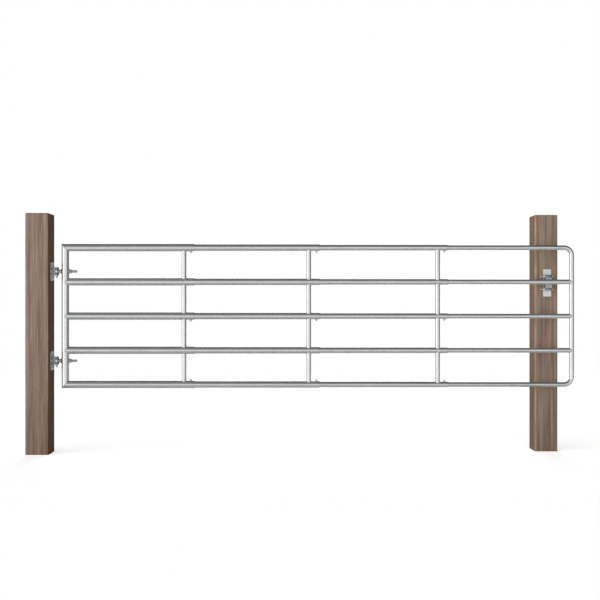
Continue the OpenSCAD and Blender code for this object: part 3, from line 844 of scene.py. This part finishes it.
def makeLockNuts(section):
    # the nuts' corners reach down to the bar
    radius = gate["tubeR"][section]
    corner = lockForm["flats"] / 2 / math.cos(math.pi / 6)
    low = math.sqrt(radius ** 2 - corner ** 2) - lockForm["nutSink"]
    high = radius + lockForm["nutH"]
    shells = []
    for number in range(len(gate["lockBars"])):
        centre, axes = lockPlace(section, number)
        shells.append(hexShell(lockForm["flats"], low, high, lockForm["boreR"], centre, axes))
    piece = makePiece(f"lockNuts{section + 1}", shells, fastenerZinc, "fastener")
    adopt(piece, f"section_{section + 1}", "plated_fastener", f"section_{section + 1}_lock_nuts")


for section in range(len(gate["endX"])):
    makeLockNuts(section)
    for number in range(len(gate["lockBars"])):
        makeLockScrew(section, number)
print("stage: lock screws made")


# weld beads

weldForm = {
    "bead": 0.0019,
    "seam": 0.0014,
    "tack": 0.0013,
    "sides": 8,
    "ripple": 0.0042,
    "rippleShare": 0.14,
    "swell": 0.6,
    "swellTurns": 3,
    "swellLead": 1.0,
    "uprightSteps": 120,
    "stileSteps": 160,
    "mitreSteps": 180,
    "tackSteps": 72,
    "tackR": 0.0071,
    "stileShare": 0.998,
    "mitreSink": 0.0004,
}


def beadShell(path, middle, radius):
    # closed bead along a seam: r = radius (1 + share sin of distance along it), as the welder's ripples
    steps = np.linalg.norm(np.roll(path, -1, 0) - path, axis=1)
    turns = round(steps.sum() / weldForm["ripple"])
    run = 2 * math.pi * (np.cumsum(steps) - steps) / steps.sum()
    swell = weldForm["swell"] * np.sin(weldForm["swellTurns"] * run + weldForm["swellLead"])
    thick = radius * (1 + weldForm["rippleShare"] * (np.sin(turns * run) + swell))
    return sweptShell(path, path - middle, thick, weldForm["sides"], True)


def saddlePath(centre, axes, inner, outer, count):
    # where a tube of radius inner along axes[2] meets a tube of radius outer along axes[0]
    angles = roundAngles(count)
    across = inner * np.sin(angles)
    rise = np.sqrt(np.maximum(outer ** 2 - across ** 2, 0.0))
    along = inner * np.cos(angles)
    return centre + along[:, None] * axes[0] + across[:, None] * axes[1] + rise[:, None] * axes[2]


def uprightBeads(section):
    # both ends of each upright between two bars, and the tacks round the lock nuts
    shells = []
    outer = gate["tubeR"][section]
    for number in range(len(gate["barZ"]) - 1):
        for bar, up in ((number, -1), (number + 1, 1)):
            centre = np.array((gate["uprightX"][section], 0.0, gate["barZ"][bar]))
            axes = (axisX, axisY, up * axisZ)
            path = saddlePath(centre, axes, gate["uprightR"], outer, weldForm["uprightSteps"])
            shells.append(beadShell(path, centre + up * outer * axisZ, weldForm["bead"]))
    for number in range(len(gate["lockBars"])):
        centre, axes = lockPlace(section, number)
        path = saddlePath(centre, axes, weldForm["tackR"], outer, weldForm["tackSteps"])
        shells.append(beadShell(path, centre + outer * axes[2], weldForm["tack"]))
    return shells


def stileBeads(radius, stileX, side):
    # bars 2 to 4 end on a stile of their own radius
    shells = []
    inner = radius * weldForm["stileShare"]
    for level in gate["barZ"][1:-1]:
        centre = np.array((stileX, 0.0, level))
        path = saddlePath(centre, (axisZ, axisY, side * axisX), inner, radius, weldForm["stileSteps"])
        shells.append(beadShell(path, centre + side * radius * axisX, weldForm["bead"]))
    return shells


def mitreBeads():
    # the mitre's seam is an ellipse: z leaves the bar's centre line as x leaves the stile's
    shells = []
    radius = gate["tubeR"][0] - weldForm["mitreSink"]
    angles = roundAngles(weldForm["mitreSteps"])
    for level, up in ((gate["barZ"][0], 1), (gate["barZ"][-1], -1)):
        centre = np.array((gate["stileX"], 0.0, level))
        slope = np.cos(angles)[:, None] * (axisX - up * axisZ)
        path = centre + radius * (slope + np.sin(angles)[:, None] * axisY)
        shells.append(beadShell(path, centre, weldForm["seam"]))
    return shells


def makeWelds(section, shells):
    piece = makePiece(f"welds{section + 1}", shells, weldZinc, "weld")
    adopt(piece, f"section_{section + 1}", "galvanised_tube")


makeWelds(0, uprightBeads(0) + stileBeads(gate["tubeR"][0], gate["stileX"], 1) + mitreBeads())
makeWelds(1, uprightBeads(1))
makeWelds(2, uprightBeads(2))
makeWelds(3, stileBeads(gate["tubeR"][3], gate["endStileX"], -1))
print("stage: welds made")


# torsion springs of the latch jaws
# foot and leg are from the pin: out from the post, and away from the latch's middle

springForm = {
    "wireR": 0.0008,
    "coilR": 0.0062,
    "pitch": 0.0023,
    "turns": 4,
    "pinOut": 0.0382,
    "pinUp": 0.041,
    "halfWidth": 0.0205,
    "foot": (-0.0321, -0.012),
    "leg": (-0.0031, -0.018),
    "legSteps": 9,
    "ringsPerTurn": 36,
    "sides": 12,
}


def springPath(form):
    # helix about the pin, left along its tangents to a foot on the plate and a leg behind the flap
    foot = np.array(form["foot"])
    leg = np.array(form["leg"])
    start = math.atan2(foot[1], foot[0]) + math.acos(form["coilR"] / np.linalg.norm(foot))
    stop = math.atan2(leg[1], leg[0]) - math.acos(form["coilR"] / np.linalg.norm(leg))
    sweep = (stop - start) % (2 * math.pi) + 2 * math.pi * form["turns"]
    length = sweep / (2 * math.pi) * form["pitch"]
    count = math.ceil(sweep / (2 * math.pi) * form["ringsPerTurn"])
    share = np.linspace(0.0, 1.0, count + 1)
    turn = start + sweep * share
    low = form["halfWidth"] - length - form["wireR"]
    ring = form["coilR"] * np.column_stack((np.cos(turn), np.sin(turn)))
    coil = np.column_stack((low + length * share, ring))
    toCoil = np.linspace(0.0, 1.0, form["legSteps"] + 1)[:-1, None]
    footEnd = np.array((low, *foot))
    legEnd = np.array((low + length, *leg))
    before = footEnd + (coil[0] - footEnd) * toCoil
    after = (legEnd + (coil[-1] - legEnd) * toCoil)[::-1]
    path = np.vstack((before, coil, after))
    lean = np.pad(turn, form["legSteps"], mode="edge")
    return path, lean, low, length


def makeSpring(place, up):
    path, lean, low, length = springPath(springForm)
    outward = np.column_stack((np.zeros(len(lean)), -np.cos(lean), up * np.sin(lean)))
    pinY = gate["latchFaceY"] - springForm["pinOut"]
    pin = np.array((gate["latchX"], pinY, gate["latchZ"] + up * springForm["pinUp"]))
    points = pin + path * (1, -1, up)
    wire = np.full(len(points), springForm["wireR"])
    shell = sweptShell(points, outward, wire, springForm["sides"], False)
    piece = makePiece(place + "JawSpring", [shell], springSteel, "rod")
    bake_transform(piece)
    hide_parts(place + "_jaw_spring")


makeSpring("upper", 1)
makeSpring("lower", -1)
print("stage: springs made")


# finishes of the CAD nodes: by slot, then by the node's own name

slotFinish = {
    "galvanised_tube": tubeZinc,
    "galvanised_fitting": fittingZinc,
    "plated_fastener": fastenerZinc,
    "spring_wire": springSteel,
}
ownFinish = {
    "upper_jaw": jawSteel,
    "lower_jaw": jawSteel,
    "end_bow": bowZinc,
    "hinge_stile": stileZinc,
    "upper_hinge_plate": hingeZinc,
    "lower_hinge_plate": hingeZinc,
}
for subpart in frame["record"]["subparts"]:
    node = subpart["node"]
    finish = slotFinish.get(subpart["material_slot"])
    # the bars take the darker zinc, which paints shade on them
    if "_bar_" in node:
        finish = shadedBarZinc
    finish = ownFinish.get(node, finish)
    if finish:
        shown = frame["nodes"][node].data.materials
        shown.clear()
        shown.append(finish)
print("stage: nodes finished")


# floor, world, lamps and camera

studio = {
    "floorX": (-5.0, 8.5),
    "floorY": (-1.3, 6.0),
    "floorZ": -0.0005,
    "floorTone": 0.82,
    "floorGlow": 0.55,
    "gain": 1.65,
    "cameraAt": (1.631, -5.795, 0.96),
    "lens": 55.44,
    "sensor": 36.0,
    "clipEnd": 200.0,
}
keyLamp = {"name": "key", "away": -40.0, "up": 24.0, "power": 1.5, "spread": 90.0}
backLamp = {"name": "back", "away": 180.0, "up": 30.0, "power": 1.1, "spread": 40.0}
# brightness of the room by bearing: from behind, round by the left to the front at 0.5 and on by the right
roomRound = (
    (0.0, 0.07),
    (0.14, 0.1),
    (0.2, 0.33),
    (0.244, 0.76),
    (0.292, 1.0),
    (0.347, 0.92),
    (0.403, 0.63),
    (0.5, 0.61),
    (0.589, 0.59),
    (0.628, 0.36),
    (0.667, 0.13),
    (1.0, 0.1),
)
# and by height: from straight down at 0 to straight up at 1
roomHigh = (
    (0.0, 0.5),
    (0.179, 0.65),
    (0.289, 0.85),
    (0.413, 1.0),
    (0.544, 1.0),
    (0.629, 0.75),
    (0.735, 0.38),
    (0.854, 0.27),
    (1.0, 0.23),
)
# the white backdrop, by how nearly a direction points straight behind
backdropStops = ((0.86, 0.0), (0.95, 0.606))


def makeFloor():
    # a wide flat sheet just under the posts, whose glow for the camera alone keeps it white with shadows
    left, right = studio["floorX"]
    near, far = studio["floorY"]
    under = studio["floorZ"]
    points = [(left, near, under), (right, near, under), (right, far, under), (left, far, under)]
    mesh = bpy.data.meshes.new("floor")
    mesh.from_pydata(points, [], [(0, 1, 2, 3)])
    floor = bpy.data.objects.new("floor", mesh)
    bpy.context.scene.collection.objects.link(floor)
    material, shader = newMaterial("paleFloor")
    tree = material.node_tree
    tree.nodes.remove(shader)
    tone = (studio["floorTone"],) * 3 + (1.0,)
    matt = addNode(tree, "ShaderNodeBsdfDiffuse", {"Color": tone})
    camera = addNode(tree, "ShaderNodeLightPath").outputs["Is Camera Ray"]
    strength = calc(tree, "MULTIPLY", camera, studio["floorGlow"])
    glow = addNode(tree, "ShaderNodeEmission", {"Strength": strength})
    both = addNode(tree, "ShaderNodeAddShader", {0: matt.outputs[0], 1: glow.outputs[0]})
    tree.links.new(both.outputs[0], tree.nodes["Material Output"].inputs["Surface"])
    mesh.materials.append(material)


def makeWorld():
    # a pale studio: bright to the front and left, dark above and at the right, with a white backdrop behind
    world = bpy.data.worlds.new("studio")
    world.use_nodes = True
    bpy.context.scene.world = world
    tree = world.node_tree
    room = tree.nodes["Background"]
    way = addNode(tree, "ShaderNodeTexCoord").outputs["Generated"]
    part = addNode(tree, "ShaderNodeSeparateXYZ", {"Vector": way})
    toFront = calc(tree, "MULTIPLY", part.outputs["Y"], -1.0)
    bearing = calc(tree, "ARCTAN2", part.outputs["X"], toFront)
    share = calc(tree, "ADD", calc(tree, "DIVIDE", bearing, 2 * math.pi), 0.5)
    lift = calc(tree, "ADD", calc(tree, "MULTIPLY", part.outputs["Z"], 0.5), 0.5)
    light = mixColour(tree, 1.0, ramp(tree, share, roomRound), ramp(tree, lift, roomHigh), "MULTIPLY")
    light = mixColour(tree, 1.0, light, ramp(tree, part.outputs["Y"], backdropStops), "LIGHTEN")
    tree.links.new(light, room.inputs["Color"])
    room.inputs["Strength"].default_value = studio["gain"]
    white = addNode(tree, "ShaderNodeBackground", {"Color": (1.0, 1.0, 1.0, 1.0), "Strength": 1.0})
    camera = addNode(tree, "ShaderNodeLightPath").outputs["Is Camera Ray"]
    choice = addNode(tree, "ShaderNodeMixShader", {0: camera, 1: room.outputs[0], 2: white.outputs[0]})
    tree.links.new(choice.outputs[0], tree.nodes["World Output"].inputs["Surface"])


def makeLamp(form):
    lamp = bpy.data.lights.new(form["name"], "SUN")
    lamp.energy = form["power"]
    lamp.angle = math.radians(form["spread"])
    sun = bpy.data.objects.new(form["name"], lamp)
    sun.visible_glossy = False
    sun.rotation_euler = (math.radians(90 - form["up"]), 0.0, math.radians(form["away"]))
    bpy.context.scene.collection.objects.link(sun)


def makeCamera():
    data = bpy.data.cameras.new("camera")
    data.sensor_width = studio["sensor"]
    data.lens = studio["lens"]
    data.clip_end = studio["clipEnd"]
    camera = bpy.data.objects.new("camera", data)
    camera.location = studio["cameraAt"]
    camera.rotation_euler = (math.pi / 2, 0.0, 0.0)
    bpy.context.scene.collection.objects.link(camera)
    bpy.context.scene.camera = camera


makeFloor()
makeWorld()
makeLamp(keyLamp)
makeLamp(backLamp)
makeCamera()
bpy.context.scene.view_settings.view_transform = "Standard"
print("stage: studio made")
